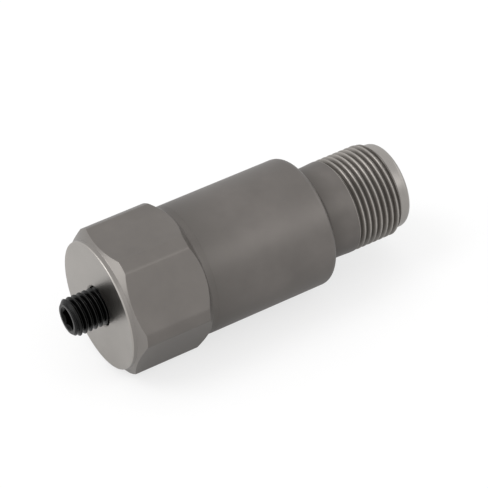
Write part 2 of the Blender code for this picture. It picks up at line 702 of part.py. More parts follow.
def preload_nut(axis):
    """Thin hexagon nut with chamfered corners."""
    corner = NUT_ACROSS_FLATS / math.sqrt(3.0)
    chamfer = corner - NUT_ACROSS_FLATS / 2
    rise = chamfer * math.tan(math.radians(30.0))
    inner = POST_RADIUS + FIT_GAP
    section = [
        (0.0, inner),
        (0.0, corner - chamfer),
        (rise, corner),
        (NUT_HEIGHT - rise, corner),
        (NUT_HEIGHT, corner - chamfer),
        (NUT_HEIGHT, inner),
    ]
    nut = turned("preload_nut", section, SMALL_SEGMENTS, axis, (NUT_START, 0.0, 0.0), "spring_steel")
    low = NUT_START - NUT_HEIGHT
    boolean(nut, "INTERSECT", hex_prism("nut_cutter", NUT_ACROSS_FLATS, low, low + 3 * NUT_HEIGHT, axis))


def shield_cap(axis):
    """Drawn cap over the element, with a hole for the signal lead."""
    length = SHIELD_END - SHIELD_START
    inside = length - SHIELD_WALL
    section = [
        (inside, 0.0),
        (inside, SHIELD_INNER),
        (0.0, SHIELD_INNER),
        (0.0, SHIELD_OUTER),
        (length - SHIELD_WALL, SHIELD_OUTER),
        (length, SHIELD_OUTER - SHIELD_WALL),
        (length, 0.0),
    ]
    cap = turned("shield_cap", section, SMALL_SEGMENTS, axis, (SHIELD_START, 0.0, 0.0), "stainless_steel")
    radius = LEAD_RADIUS + LEAD_HOLE_CLEARANCE
    low = POST_END
    high = SHIELD_END + SHIELD_HEADROOM
    boolean(cap, "DIFFERENCE", bar_cutter("cap_hole", radius, low, high, axis, 0.0, -SIGNAL_LEAD_RADIUS))


def insulating_liner(axis):
    length = SLEEVE_ROOF - SEAT_GAP - ISOLATION_START
    section = washer_section(LINER_INNER, LINER_OUTER, length)
    turned("insulating_liner", section, SMALL_SEGMENTS, axis, (ISOLATION_START, 0.0, 0.0), "amber_film")


def board_spacer(axis):
    """Ring that carries the board on the shield's shoulder, with a gap for the lead."""
    outer = SHIELD_OUTER - SHIELD_WALL
    section = washer_section(outer - SPACER_WIDTH, outer, SPACER_HEIGHT)
    place = (SPACER_START, 0.0, 0.0)
    spacer = turned("board_spacer", section, SMALL_SEGMENTS, axis, place, "white_fluoropolymer")
    radius = LEAD_RADIUS + 2 * LEAD_HOLE_CLEARANCE
    low = SPACER_START - SPACER_HEIGHT
    high = SPACER_START + 2 * SPACER_HEIGHT
    gap = bar_cutter("spacer_gap", radius, low, high, axis, 0.0, -SIGNAL_LEAD_RADIUS)
    boolean(spacer, "DIFFERENCE", gap)


def pad_places():
    """Where the two supply leads and the signal lead meet the board, as (y, z)."""
    places = {"signal": (0.0, -SIGNAL_LEAD_RADIUS)}
    for side, y in pin_sides().items():
        places["supply_" + side] = (y + math.copysign(LEAD_PAD_OFFSET, y), 0.0)
    return places


def circuit_board(axis):
    """Round board with a plated hole for each lead."""
    length = BOARD_THICKNESS
    section = [(0.0, 0.0), (0.0, BOARD_RADIUS), (length, BOARD_RADIUS), (length, 0.0)]
    board = turned("circuit_board", section, SMALL_SEGMENTS, axis, (BOARD_START, 0.0, 0.0), "board_green")
    radius = LEAD_RADIUS + LEAD_HOLE_CLEARANCE
    for pad, (y, z) in pad_places().items():
        low = BOARD_START - BOARD_THICKNESS
        high = BOARD_TOP + BOARD_THICKNESS
        boolean(board, "DIFFERENCE", bar_cutter("board_hole_" + pad, radius, low, high, axis, y, z))


def board_components(axis):
    """Amplifier chip, two capacitors and two resistors on the board's connector side."""
    x = BOARD_TOP + SEAM_GAP
    mesh = block_mesh("amplifier_chip", CHIP_SIZE, CHIP_BEVEL)
    add_object("amplifier_chip", mesh, axis, (x, 0.0, 0.0), "chip_black")
    capacitor_height = BOARD_RADIUS - CAPACITOR_INSET
    resistor_height = RESISTOR_INSET - BOARD_RADIUS
    for side, sign in (("a", -1), ("b", 1)):
        mesh = block_mesh("chip_capacitor_" + side, CAPACITOR_SIZE, CHIP_BEVEL)
        place = (x, sign * CAPACITOR_SPACING / 2, capacitor_height)
        add_object("chip_capacitor_" + side, mesh, axis, place, "capacitor_tan")
        mesh = block_mesh("chip_resistor_" + side, RESISTOR_SIZE, CHIP_BEVEL / 2)
        place = (x, sign * RESISTOR_SPACING / 2, resistor_height)
        add_object("chip_resistor_" + side, mesh, axis, place, "resistor_dark")


def lead(name, points, axis, slot):
    """A round insulated wire through the given points."""
    curve = bpy.data.curves.new(name, "CURVE")
    curve.dimensions = "3D"
    curve.bevel_depth = LEAD_RADIUS
    curve.bevel_resolution = 2
    curve.use_fill_caps = True
    spline = curve.splines.new("POLY")
    spline.points.add(len(points) - 1)
    for target, point in zip(spline.points, points):
        target.co = (*point, 1.0)
    add_object(name, curve, axis, (0.0, 0.0, 0.0), slot)


def eased_path(start, end, steps=8):
    """Points that leave and arrive along X and swing across in between."""
    points = []
    for k in range(steps + 1):
        along = k / steps
        across = along * along * (3 - 2 * along)
        x = start[0] + (end[0] - start[0]) * along
        y = start[1] + (end[1] - start[1]) * across
        z = start[2] + (end[2] - start[2]) * across
        points.append((x, y, z))
    return points


def supply_leads(axis):
    """From the board's holes to the pins' solder cups."""
    pads = pad_places()
    slots = {"a": "lead_red", "b": "lead_white"}
    for side, y in pin_sides().items():
        pad_y, pad_z = pads["supply_" + side]
        start = (BOARD_START + BOARD_THICKNESS / 2, pad_y, pad_z)
        clear = (BOARD_TOP + LEAD_RADIUS, pad_y, pad_z)
        arrive = (PIN_START - LEAD_RADIUS, y, 0.0)
        end = (PIN_START + SOLDER_CUP_DEPTH / 2, y, 0.0)
        lead("supply_lead_" + side, [start, *eased_path(clear, arrive), end], axis, slots[side])


def signal_lead(axis):
    """Straight up from the electrode's tab, through the shield, to the board."""
    start = ELECTRODE_START + ELECTRODE_THICKNESS + SEAT_GAP
    end = BOARD_START + BOARD_THICKNESS / 2
    points = [(start, 0.0, -SIGNAL_LEAD_RADIUS), (end, 0.0, -SIGNAL_LEAD_RADIUS)]
    lead("signal_lead", points, axis, "lead_white")


def main():
    clear_scene()
    axis = sensor_axis()
    mounting_stud(axis)
    sensor_base(axis)
    housing_sleeve(axis)
    connector_shell(axis)
    connector_insulator(axis)
    contact_pins(axis)
    isolation_disc(axis)
    element_pedestal(axis)
    post_sleeve(axis)
    element_rings(axis)
    signal_electrode(axis)
    seismic_mass(axis)
    disc_spring(axis)
    preload_nut(axis)
    shield_cap(axis)
    insulating_liner(axis)
    board_spacer(axis)
    circuit_board(axis)
    board_components(axis)
    supply_leads(axis)
    signal_lead(axis)


main()
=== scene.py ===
"""Looks of the vibration sensor: finely modelled metal pieces, machined finishes, light and camera.

Metres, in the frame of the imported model. Distances along the sensing axis are counted from the
base face, and angles round the axis from +Y towards +Z, as in the CAD source.
"""

import math
from collections import namedtuple

import bpy
from mathutils import Matrix, Vector


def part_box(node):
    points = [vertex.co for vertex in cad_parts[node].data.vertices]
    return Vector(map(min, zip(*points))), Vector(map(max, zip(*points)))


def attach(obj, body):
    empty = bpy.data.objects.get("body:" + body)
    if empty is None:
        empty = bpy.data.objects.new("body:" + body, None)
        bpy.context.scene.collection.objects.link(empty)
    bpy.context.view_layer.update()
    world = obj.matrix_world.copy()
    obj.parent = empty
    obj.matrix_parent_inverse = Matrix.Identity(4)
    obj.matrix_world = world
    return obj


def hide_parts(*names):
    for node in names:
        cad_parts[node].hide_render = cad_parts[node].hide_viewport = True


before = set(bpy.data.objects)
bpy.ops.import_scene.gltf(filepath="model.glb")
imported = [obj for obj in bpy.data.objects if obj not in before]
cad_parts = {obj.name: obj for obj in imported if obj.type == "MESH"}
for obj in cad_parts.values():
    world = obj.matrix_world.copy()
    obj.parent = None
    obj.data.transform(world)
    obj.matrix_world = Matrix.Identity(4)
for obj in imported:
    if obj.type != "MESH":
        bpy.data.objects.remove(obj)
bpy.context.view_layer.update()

# Camera, fitted to the photograph
PHOTO_SIDE = 488
CAMERA_PLACE = (-0.15750, -0.28291, 0.26083)
CAMERA_AIM = (0.38998, 0.69027, -0.60946)
CAMERA_ROLL = -4.00
FOCAL_PIXELS = 2585.1
SENSOR_WIDTH = 36.0
CLIP_START = 0.01
CLIP_END = 50.0

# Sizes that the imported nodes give
BASE_LOW, BASE_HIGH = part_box("sensor_base")
SLEEVE_LOW, SLEEVE_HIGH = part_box("housing_sleeve")
SHELL_LOW, SHELL_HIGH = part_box("connector_shell")
STUD_LOW, STUD_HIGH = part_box("mounting_stud")
PIN_LOW, PIN_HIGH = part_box("contact_pin_a")
INSULATOR_LOW, INSULATOR_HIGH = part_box("connector_insulator")
BASE_X = BASE_LOW.x
AXIS_HEIGHT = (BASE_LOW.z + BASE_HIGH.z) / 2
FLAT_RADIUS = (BASE_HIGH.z - BASE_LOW.z) / 2
CORNER_RADIUS = (BASE_HIGH.y - BASE_LOW.y) / 2
SPIGOT_END = BASE_HIGH.x - BASE_X
SLEEVE_START = SLEEVE_LOW.x - BASE_X
SHOULDER = SLEEVE_HIGH.x - BASE_X
SLEEVE_RADIUS = (SLEEVE_HIGH.y - SLEEVE_LOW.y) / 2
SHELL_BACK = SHELL_LOW.x - BASE_X
SHELL_END = SHELL_HIGH.x - BASE_X
STUD_TIP = STUD_LOW.x - BASE_X
STUD_END = STUD_HIGH.x - BASE_X
INSULATOR_FACE = INSULATOR_HIGH.x - BASE_X
INSULATOR_BACK = INSULATOR_LOW.x - BASE_X
INSULATOR_RADIUS = (INSULATOR_HIGH.y - INSULATOR_LOW.y) / 2

# Hexagonal base
HEX_LENGTH = 0.01435
FACE_RADIUS = FLAT_RADIUS - 0.00035
BOSS_HEIGHT = 0.00085
FRONT_CHAMFER_ANGLE = 33.0
REAR_CHAMFER_ANGLE = 44.0
COLLAR_RADIUS = SLEEVE_RADIUS - 0.0001
COLLAR_END = SLEEVE_START - 0.000004
SPIGOT_RADIUS = SLEEVE_RADIUS - 0.00185
STUD_HOLE_RADIUS = 0.0033
STUD_HOLE_MOUTH = 0.00025
STUD_HOLE_DEPTH = 0.0084
DRILL_POINT = 0.00198
EDGE_ROUND = 0.00022  # rounded edge of the base face
FINE_EDGE = 0.00005  # every other machined edge
SEAM_EDGE = 0.000006  # edges of the joint between collar and sleeve
COLLAR_FILLET = 0.0005  # hollow where the rear chamfer meets the collar
COLLAR_SHADE = 0.0003  # how far the collar's painted shade reaches up that hollow
HEX_EDGE_BLEND = 0.00004

# Sleeve
SLEEVE_WALL = 0.0018
SHOULDER_ROUND = 0.0014
SHOULDER_WALL = 0.0020
SHOULDER_HOLE = 0.00645

# Unified thread form, in pitches
THREAD_DEPTH = 0.6134
SHELL_CREST = 0.115  # half width of the crest, which handling has rounded
STUD_CREST = 0.0625
ROOT_HALF_WIDTH = 0.083
THREAD_FADE = 0.12  # turns over which a groove starts or ends
LEAD_TURNS = 0.072  # share of the first turn that keeps the neck's finish
SHELL_BLEND = 0.34  # rounding of the crest's and root's edges, as a share of the depth
STUD_BLEND = 0.15

# Connector shell
SHELL_MAJOR = 0.00788
SHELL_PITCH = 0.0254 / 24
SHELL_TURNS = 9  # the last one runs out at the nose
THREAD_START = 0.04298
NOSE_START = THREAD_START + 8.475 * SHELL_PITCH
NOSE_RING = NOSE_START + 0.0002
NOSE_RADIUS = SHELL_MAJOR - THREAD_DEPTH * SHELL_PITCH - 0.00003  # just below the roots
NOSE_ROUND = 0.0011
NECK_RADIUS = SHELL_MAJOR - 0.0001
NECK_TAPER = 0.0020  # length of the rise from the neck to the thread's crests
ROOT_GROOVE_DEPTH = 0.00035
ROOT_GROOVE_WIDTH = 0.0006
ROOT_GROOVE_ROUND = 0.00035
SHELL_SEAT = SHOULDER + 0.00005
SHELL_SPIGOT_RADIUS = 0.0064
SOCKET_RADIUS = INSULATOR_RADIUS + 0.00005
SOCKET_MOUTH = 0.00015
REAR_BORE = SOCKET_RADIUS - 0.0006
SHELL_LEDGE = INSULATOR_BACK - 0.0001
KEYWAY_WIDTH = 0.0018
KEYWAY_DEPTH = 0.0006
KEYWAY_STOP = INSULATOR_FACE + 0.0008
KEYWAY_CENTRE = math.pi / 2
KEYWAY_WALL = math.radians(0.05)  # half of the turn between the two columns at each wall
KEYWAY_CLEAR = math.radians(0.8)  # turn round each wall that holds no other column

# Stud
STUD_MAJOR = 0.00315
STUD_PITCH = 0.0254 / 28
STUD_TURNS = 8
STUD_LAND = 1.2  # turns from the last groove's end to the first plain ring
STUD_THREAD_START = 0.00046 - 2 * STUD_PITCH
STUD_CHAMFER = 0.00065
HEX_SOCKET_FLATS = 0.003175
HEX_SOCKET_DEPTH = 0.0032
HEX_SOCKET_POINT = 0.0005
HEX_SOCKET_SINK = 0.0002  # depth and width of the countersink at the hexagon's corners

# Pins
PIN_SPACING = 0.0059
PIN_RADIUS = 0.00079
PIN_SHOULDER_RADIUS = 0.00115
PIN_TAIL_RADIUS = 0.0009
PIN_TAIL_LENGTH = 0.0020
PIN_SHOULDER_LENGTH = 0.0008

# Mesh fineness
BODY_COLUMNS = 240
SHELL_COLUMNS = 144
STUD_COLUMNS = 120
THREAD_ROWS = 32  # for one pitch
FLAT_COLUMNS = 44
CORNER_COLUMNS = 8
PIN_COLUMNS = 48
ROUND_STEPS = 4
ARC_STEPS = 14
ROUND_LIMIT = 0.45  # longest setback of a rounded corner, as a share of its side
SHARP_ANGLE = 32.0  # edges that turn more than this stay sharp
FACE_WEIGHT = 80
ANGLE_DIGITS = 7  # decimals in which points have to agree to be one
LENGTH_DIGITS = 8
NIL = 1e-9  # radius that counts as none
HAIR = 1e-6  # length too small to see

# Studio
FLOOR_SIZE = 6.0
FLOOR_COLOUR = (0.62, 0.62, 0.62)  # for the light it returns to the object
FLOOR_SEEN = (0.93, 0.93, 0.93)
WHITE_SHARE = 0.7  # how far the floor's look is pulled to white
MIRRORED_WHITE_SHARE = 0.3
FLOOR_ROUGHNESS = 0.9
DOME_LEVEL = 0.95
HORIZON_LEVEL = 0.75
DOME_RISE = (-0.1, 0.4)  # height of a direction at which the dome starts and ends its rise

# Lamps: place, width, height and power
LAMPS = {
    "left_softbox": ((-1.2, 0.30, 0.32), 1.0, 0.7, 1.9),
    "right_softbox": ((1.1, -0.30, 0.30), 1.1, 0.8, 1.2),
    "top_left_softbox": ((-0.70, 0.25, 1.05), 0.6, 0.6, 4.5),
    "front_strip": ((0.47, -0.83, 0.74), 0.30, 0.70, 0.5),
}

# Grain of the finishes
TOOL_LINE_SCALE = 14000.0
TOOL_LINE_DETAIL = 3.0
TOOL_LINE_DEPTH = 0.0000008
GRAIN_SCALE = 9000.0
GRAIN_DETAIL = 2.0
GRAIN_DEPTH = 0.0000006
INNER_GRAIN_DEPTH = 0.000002
DRIFT_SCALE = 160.0
INNER_DRIFT_SCALE = 900.0
DRIFT_DETAIL = 3.0
PATCH_SCALE = 1500.0
NOISE_ROUGHNESS = 0.55
NOISE_RANGE = (0.3, 0.7)  # where most of a noise's values lie
RADIUS_WEIGHT = 1.618  # of the radius in the coordinate along a turned surface
SHADED_DRIFT = 0.4  # least share of a place's tone that the drift leaves
GLOSS_DRIFT = 0.02
GLOSS_LINES = 0.015
OXIDE_GLOSS = 0.05
INNER_GLOSS = 0.04

# Machined metal: dark tone, light tone and roughness
METALS = {
    "turned_steel": ((0.180, 0.167, 0.156), (0.210, 0.195, 0.182), 0.40),
    # The dark tones of the sleeve and neck steels are painted shade beside the hexagon and the shoulder
    "sleeve_steel": ((0.147, 0.137, 0.128), (0.197, 0.182, 0.171), 0.42),
    # The collar steel's tones are painted shade, darker than the turned steel, in the hollow behind the
    # hexagon
    "collar_steel": ((0.138, 0.128, 0.120), (0.156, 0.145, 0.135), 0.44),
    "neck_steel": ((0.122, 0.113, 0.105), (0.197, 0.182, 0.171), 0.45),
    "bright_steel": ((0.265, 0.249, 0.234), (0.290, 0.272, 0.256), 0.32),
    "drawn_steel": ((0.180, 0.167, 0.156), (0.206, 0.191, 0.178), 0.40),
    "faced_steel": ((0.415, 0.394, 0.369), (0.456, 0.432, 0.406), 0.32),
    "nose_steel": ((0.345, 0.327, 0.307), (0.375, 0.355, 0.334), 0.30),
    # thread_steel's two tones hold painted shade for the roots and a painted highlight for the flanks
    # and crests
    "thread_steel": ((0.165, 0.154, 0.143), (0.455, 0.428, 0.398), 0.42),
    "gold_plate_finish": ((0.75, 0.54, 0.20), (0.83, 0.62, 0.26), 0.22),
}
ANISOTROPY = {"faced_steel": 0.4}  # stretch of the highlights by the rings of facing

# Painted shade beside the hexagon and beside the shoulder, darker towards each: where the dark tone ends
# and where the light one starts
PAINTED_JOINT_SHADES = {
    "sleeve_steel": (SLEEVE_START - 0.002, SLEEVE_START + 0.008),
    "neck_steel": (SHELL_SEAT, SHELL_SEAT + 0.0045),
}

# Painted shade in the roots of the connector's thread and painted highlight on its upper flanks and
# crests, in shares of its depth from the root
PAINTED_SHADE_TOP = 0.08
PAINTED_LIT_FLANK = 0.45
PAINTED_CREST_HIGHLIGHT = 0.78
FLANK_SHARE = 0.58  # tone of the flank between the root's and the crest's

# Blackened steel: film, worn film, index of refraction and roughness
OXIDES = {
    "black_oxide": ((0.0010, 0.0010, 0.0010), (0.014, 0.014, 0.013), 1.24, 0.22),
    "edge_oxide": ((0.006, 0.006, 0.006), (0.016, 0.015, 0.015), 1.30, 0.28),
    "worn_oxide": ((0.030, 0.029, 0.028), (0.045, 0.044, 0.042), 1.35, 0.36),
}
OXIDE_WEAR = (STUD_MAJOR - 0.00006, STUD_MAJOR - 0.00001)  # radii where it starts and is full
WORN_PATCH = 0.7  # least share of the wear that the patches leave

# Finishes of the nodes that keep their CAD mesh: dark tone, light tone, metallic and roughness
INNER_FINISHES = {
    "stainless_steel": ((0.25, 0.24, 0.23), (0.28, 0.27, 0.26), 1.0, 0.34),
    "insulator_plastic": ((0.030, 0.030, 0.032), (0.045, 0.045, 0.048), 0.0, 0.42),
    "alumina": ((0.80, 0.79, 0.75), (0.86, 0.85, 0.80), 0.0, 0.50),
    "piezo_ceramic": ((0.55, 0.51, 0.42), (0.62, 0.58, 0.48), 0.0, 0.60),
    "brass": ((0.68, 0.51, 0.24), (0.74, 0.57, 0.28), 1.0, 0.30),
    "tungsten": ((0.30, 0.30, 0.32), (0.34, 0.34, 0.36), 1.0, 0.40),
    "spring_steel": ((0.34, 0.34, 0.36), (0.40, 0.40, 0.42), 1.0, 0.30),
    "amber_film": ((0.50, 0.25, 0.05), (0.58, 0.30, 0.07), 0.0, 0.35),
    "white_fluoropolymer": ((0.80, 0.80, 0.78), (0.86, 0.86, 0.84), 0.0, 0.40),
    "board_green": ((0.025, 0.17, 0.07), (0.035, 0.22, 0.09), 0.0, 0.40),
    "chip_black": ((0.025, 0.025, 0.025), (0.035, 0.035, 0.035), 0.0, 0.50),
    "capacitor_tan": ((0.45, 0.32, 0.19), (0.52, 0.38, 0.24), 0.0, 0.45),
    "resistor_dark": ((0.03, 0.03, 0.04), (0.05, 0.05, 0.06), 0.0, 0.35),
    "lead_red": ((0.50, 0.025, 0.018), (0.58, 0.035, 0.024), 0.0, 0.45),
    "lead_white": ((0.76, 0.76, 0.74), (0.82, 0.82, 0.80), 0.0, 0.45),
    "black_oxide_steel": ((0.016, 0.016, 0.016), (0.030, 0.030, 0.029), 1.0, 0.34),
    "gold_plate": ((0.75, 0.54, 0.20), (0.83, 0.62, 0.26), 1.0, 0.22),
}

Skin = namedtuple("Skin", "plain points faces finishes seen")
Thread = namedtuple("Thread", "major pitch turns start fade_in fade_out crest blend")


def new_skin(plain):
    """Empty skin. plain names the finish of the faces that are given no other."""
    return Skin(plain, [], [], [], {})


def put(skin, angle, x, radius):
    """Index of a point given round the axis. Points that coincide share one index."""
    if radius < NIL:
        angle = 0.0
    key = (round(angle, ANGLE_DIGITS), round(x, LENGTH_DIGITS), round(radius, LENGTH_DIGITS))
    if key not in skin.seen:
        skin.seen[key] = len(skin.points)
        y = radius * math.cos(angle)
        z = AXIS_HEIGHT + radius * math.sin(angle)
        skin.points.append((BASE_X + x, y, z))
    return skin.seen[key]


def face(skin, corners, finish):
    """One face, unless its corners have run together."""
    kept = list(dict.fromkeys(corners))
    if len(kept) > 2:
        skin.faces.append(kept)
        skin.finishes.append(finish)


def even_angles(count):
    return [2 * math.pi * k / count for k in range(count)]


def sweep(skin, angles, section, finish_of=None):
    """Faces round the axis. The section gives (x, radius) points for each angle.

    finish_of names the finish of the stretch between two points of the section.
    """
    sections = [section(angle) for angle in angles]
    columns = [[put(skin, a, x, r) for x, r in points] for a, points in zip(angles, sections)]
    for k, column in enumerate(columns):
        after = columns[(k + 1) % len(columns)]
        for j in range(len(column) - 1):
            finish = finish_of(sections[k][j], sections[k][j + 1]) if finish_of else skin.plain
            face(skin, (column[j], after[j], after[j + 1], column[j + 1]), finish)
    return columns


def soften(section, sizes):
    """Round the corners of a section. sizes holds each corner's setback, or 0 to keep it sharp."""
    points = [section[0]]
    for k in range(1, len(section) - 1):
        before, corner, after = (Vector(section[j]) for j in (k - 1, k, k + 1))
        size = sizes[k]
        if size == 0.0:
            points.append(tuple(corner))
            continue
        back = before - corner
        ahead = after - corner
        start = corner + back.normalized() * min(size, back.length * ROUND_LIMIT)
        end = corner + ahead.normalized() * min(size, ahead.length * ROUND_LIMIT)
        for step in range(ROUND_STEPS + 1):
            t = step / ROUND_STEPS
            point = start * (1 - t) ** 2 + corner * 2 * t * (1 - t) + end * t ** 2
            points.append(tuple(point))
    points.append(section[-1])
    return points


def arc(x, radius, size, start, end, steps=ARC_STEPS):
    """Points of a round of the given size, centred on (x, radius), angles in degrees."""
    points = []
    for k in range(steps + 1):
        angle = math.radians(start + (end - start) * k / steps)
        points.append((x + size * math.cos(angle), radius + size * math.sin(angle)))
    return points


def smooth_min(a, b, blend):
    near = max(blend - abs(a - b), 0.0) / blend
    return min(a, b) - near * near * blend / 4


def smooth_max(a, b, blend):
    return -smooth_min(-a, -b, blend)


def make_piece(skin, name, node):
    """Mesh object from a skin, riding on the body in the place of its CAD node."""
    mesh = bpy.data.meshes.new(name)
    mesh.from_pydata(skin.points, [], skin.faces)
    used = list(dict.fromkeys(skin.finishes))
    for finish in used:
        mesh.materials.append(finished(finish))
    mesh.polygons.foreach_set("material_index", [used.index(finish) for finish in skin.finishes])
    mesh.update()
    piece = bpy.data.objects.new(name, mesh)
    bpy.context.scene.collection.objects.link(piece)
    mesh.shade_smooth()
    mesh.set_sharp_from_angle(angle=math.radians(SHARP_ANGLE))
    weighted = piece.modifiers.new("weighted normals", "WEIGHTED_NORMAL")
    weighted.keep_sharp = True
    weighted.weight = FACE_WEIGHT
    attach(piece, "root")
    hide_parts(node)


# Threads


def groove_share(away, thread):
    """Share of the thread's depth at a distance from the crest's middle, in pitches."""
    share = (away - thread.crest) / (0.5 - thread.crest - ROOT_HALF_WIDTH)
    return smooth_max(smooth_min(share, 1.0, thread.blend), 0.0, thread.blend)


def thread_radius(thread, phase, progress):
    """Radius of the unified form at a phase of the pitch (0 and 1 are crests)."""
    crest = groove_share(0.0, thread)
    root = groove_share(0.5, thread)
    share = (groove_share(min(phase, 1.0 - phase), thread) - crest) / (root - crest)
    fade = 1.0
    if thread.fade_in > 0.0:
        fade = min(fade, progress / thread.fade_in)
    if thread.fade_out > 0.0:
        fade = min(fade, (thread.turns - progress) / thread.fade_out)
    fade = max(fade, 0.0)
    return thread.major - share * THREAD_DEPTH * thread.pitch * fade * fade * (3 - 2 * fade)


def helical_skin(skin, angles, low, high, thread, outline, finish_at):
    """The thread's faces between two rings of points. Its rows run along the helix.

    outline gives, for an x on the helix, the x that the ends allow and the greatest radius there.
    finish_at names the finish at an x and at a progress, counted in turns.
    """
    count = len(angles)
    last = thread.turns * THREAD_ROWS

    def vertex(row, column):
        """Point on the helix. The column after the last one opens the next turn."""
        if column == count and row + THREAD_ROWS <= last:
            return vertex(row + THREAD_ROWS, 0)
        turn, step = divmod(row, THREAD_ROWS)
        angle = angles[column % count]
        round_trip = 1.0 if column == count else angle / (2 * math.pi)
        progress = turn + round_trip
        phase = step / THREAD_ROWS
        x, most = outline(thread.start + thread.pitch * (progress + phase))
        return put(skin, angle, x, min(thread_radius(thread, phase, progress), most))

    def patch(progress, corners):
        face(skin, corners, finish_at(skin.points[corners[2]][0] - BASE_X, progress))

    def fan(progress, apex, chain):
        for first, second in zip(chain, chain[1:]):
            patch(progress, (apex, first, second))

    for row in range(last):
        for column in range(count):
            near = (vertex(row, column), vertex(row, column + 1))
            far = (vertex(row + 1, column + 1), vertex(row + 1, column))
            patch(row // THREAD_ROWS + column / count, (*near, *far))
    for column in range(count - 1):
        patch(0.0, (low[column], low[column + 1], vertex(0, column + 1), vertex(0, column)))
    step = [vertex(row, 0) for row in range(THREAD_ROWS + 1)]
    fan(0.0, vertex(0, count - 1), [low[-1], low[0], *step])
    for column in range(1, count):
        after = (column + 1) % count
        corners = (vertex(last, column), vertex(last, column + 1), high[after], high[column])
        patch(thread.turns, corners)
    step = [vertex(row, count) for row in range(last, last - THREAD_ROWS - 1, -1)]
    fan(thread.turns, vertex(last, 1), [high[1], high[0], *step])


# Pieces


def hexagon_radius(angle, flat_radius, corner_radius, blend):
    """Distance of a hexagon with level flats and turned corners from its axis."""
    turn = math.pi / 3
    off = (angle - math.pi / 2 + turn / 2) % turn - turn / 2
    return smooth_min(flat_radius / math.cos(off), corner_radius, blend)


def hexagon_angles():
    """Angles that have columns on the flats' edges."""
    edge = math.acos(FLAT_RADIUS / CORNER_RADIUS)
    angles = []
    for k in range(6):
        middle = math.pi / 2 + k * math.pi / 3
        angles += [middle - edge + 2 * edge * j / FLAT_COLUMNS for j in range(FLAT_COLUMNS)]
        corner = math.pi / 3 - 2 * edge
        angles += [middle + edge + corner * j / CORNER_COLUMNS for j in range(CORNER_COLUMNS)]
    return angles


def hexagon_base():
    """Boss, chamfered hexagon, collar, spigot and tapped hole, with every edge broken."""
    skin = new_skin("turned_steel")
    front = math.tan(math.radians(FRONT_CHAMFER_ANGLE))
    rear = math.tan(math.radians(REAR_CHAMFER_ANGLE))

    def section(angle):
        radius = hexagon_radius(angle, FLAT_RADIUS, CORNER_RADIUS, HEX_EDGE_BLEND)
        points = (
            (STUD_HOLE_DEPTH + DRILL_POINT, 0.0, 0.0),
            (STUD_HOLE_DEPTH, STUD_HOLE_RADIUS, 0.0),
            (STUD_HOLE_MOUTH, STUD_HOLE_RADIUS, 0.0),
            (0.0, STUD_HOLE_RADIUS + STUD_HOLE_MOUTH, FINE_EDGE),
            (0.0, FACE_RADIUS, EDGE_ROUND),
            (BOSS_HEIGHT, FACE_RADIUS, FINE_EDGE),
            (BOSS_HEIGHT + (radius - FACE_RADIUS) * front, radius, FINE_EDGE),
            (HEX_LENGTH - (radius - COLLAR_RADIUS) * rear, radius, FINE_EDGE),
            (HEX_LENGTH, COLLAR_RADIUS, COLLAR_FILLET),
            (COLLAR_END, SLEEVE_RADIUS - SEAM_EDGE, SEAM_EDGE),
            (COLLAR_END, SPIGOT_RADIUS, 0.0),
            (SPIGOT_END, SPIGOT_RADIUS, EDGE_ROUND),
            (SPIGOT_END, 0.0, 0.0),
        )
        return soften([p[:2] for p in points], [p[2] for p in points])

    def finish_of(low, high):
        if high[0] < EDGE_ROUND + HAIR:
            return "faced_steel"
        if high[0] - low[0] > HEX_LENGTH / 2:
            return "drawn_steel"
        if high[0] < HEX_LENGTH / 2:
            return "bright_steel"
        # The collar and the hollow before it take the collar's painted shade
        return "collar_steel" if low[0] > HEX_LENGTH - COLLAR_SHADE else "turned_steel"

    sweep(skin, hexagon_angles(), section, finish_of)
    make_piece(skin, "hexagon_base", "sensor_base")


def body_sleeve():
    """Turned sleeve with a rounded shoulder."""
    skin = new_skin("sleeve_steel")
    bore = SLEEVE_RADIUS - SLEEVE_WALL
    round_centre = (SHOULDER - SHOULDER_ROUND, SLEEVE_RADIUS - SHOULDER_ROUND)
    shoulder = arc(*round_centre, SHOULDER_ROUND, 90, 0)
    outline = [
        (SLEEVE_START, bore),
        (SLEEVE_START, SLEEVE_RADIUS),
        *shoulder,
        (SHOULDER, SHOULDER_HOLE),
        (SHOULDER - SHOULDER_WALL, SHOULDER_HOLE),
        (SHOULDER - SHOULDER_WALL, bore),
    ]
    sizes = [0.0, SEAM_EDGE, *[0.0] * len(shoulder), FINE_EDGE, 0.0, 0.0]
    points = soften(outline, sizes)
    points.append(points[0])
    sweep(skin, even_angles(BODY_COLUMNS), lambda angle: points)
    make_piece(skin, "body_sleeve", "housing_sleeve")


def keyway_radius(angle):
    """Distance of the keyway's flat bottom from the axis, or 0 outside the keyway."""
    top = SOCKET_RADIUS + KEYWAY_DEPTH
    off = angle - KEYWAY_CENTRE
    if abs(math.tan(off)) * top > KEYWAY_WIDTH / 2 or math.cos(off) <= 0.0:
        return 0.0
    return top / math.cos(off)


def shell_angles():
    """Even angles, with two close columns at each wall of the keyway."""
    half = math.atan2(KEYWAY_WIDTH / 2, SOCKET_RADIUS + KEYWAY_DEPTH)
    pair = (half - KEYWAY_WALL, half + KEYWAY_WALL)
    walls = [KEYWAY_CENTRE + sign * turn for sign in (-1, 1) for turn in pair]
    even = even_angles(SHELL_COLUMNS)
    return sorted([a for a in even if all(abs(a - w) > KEYWAY_CLEAR for w in walls)] + walls)


def shell_outline(x):
    """The thread's major, a chamfer down to the nose, and the nose as far as its first ring."""
    if x < NOSE_START:
        return x, min(SHELL_MAJOR, NOSE_RADIUS + (NOSE_START - x))
    return min(x, NOSE_RING), NOSE_RADIUS


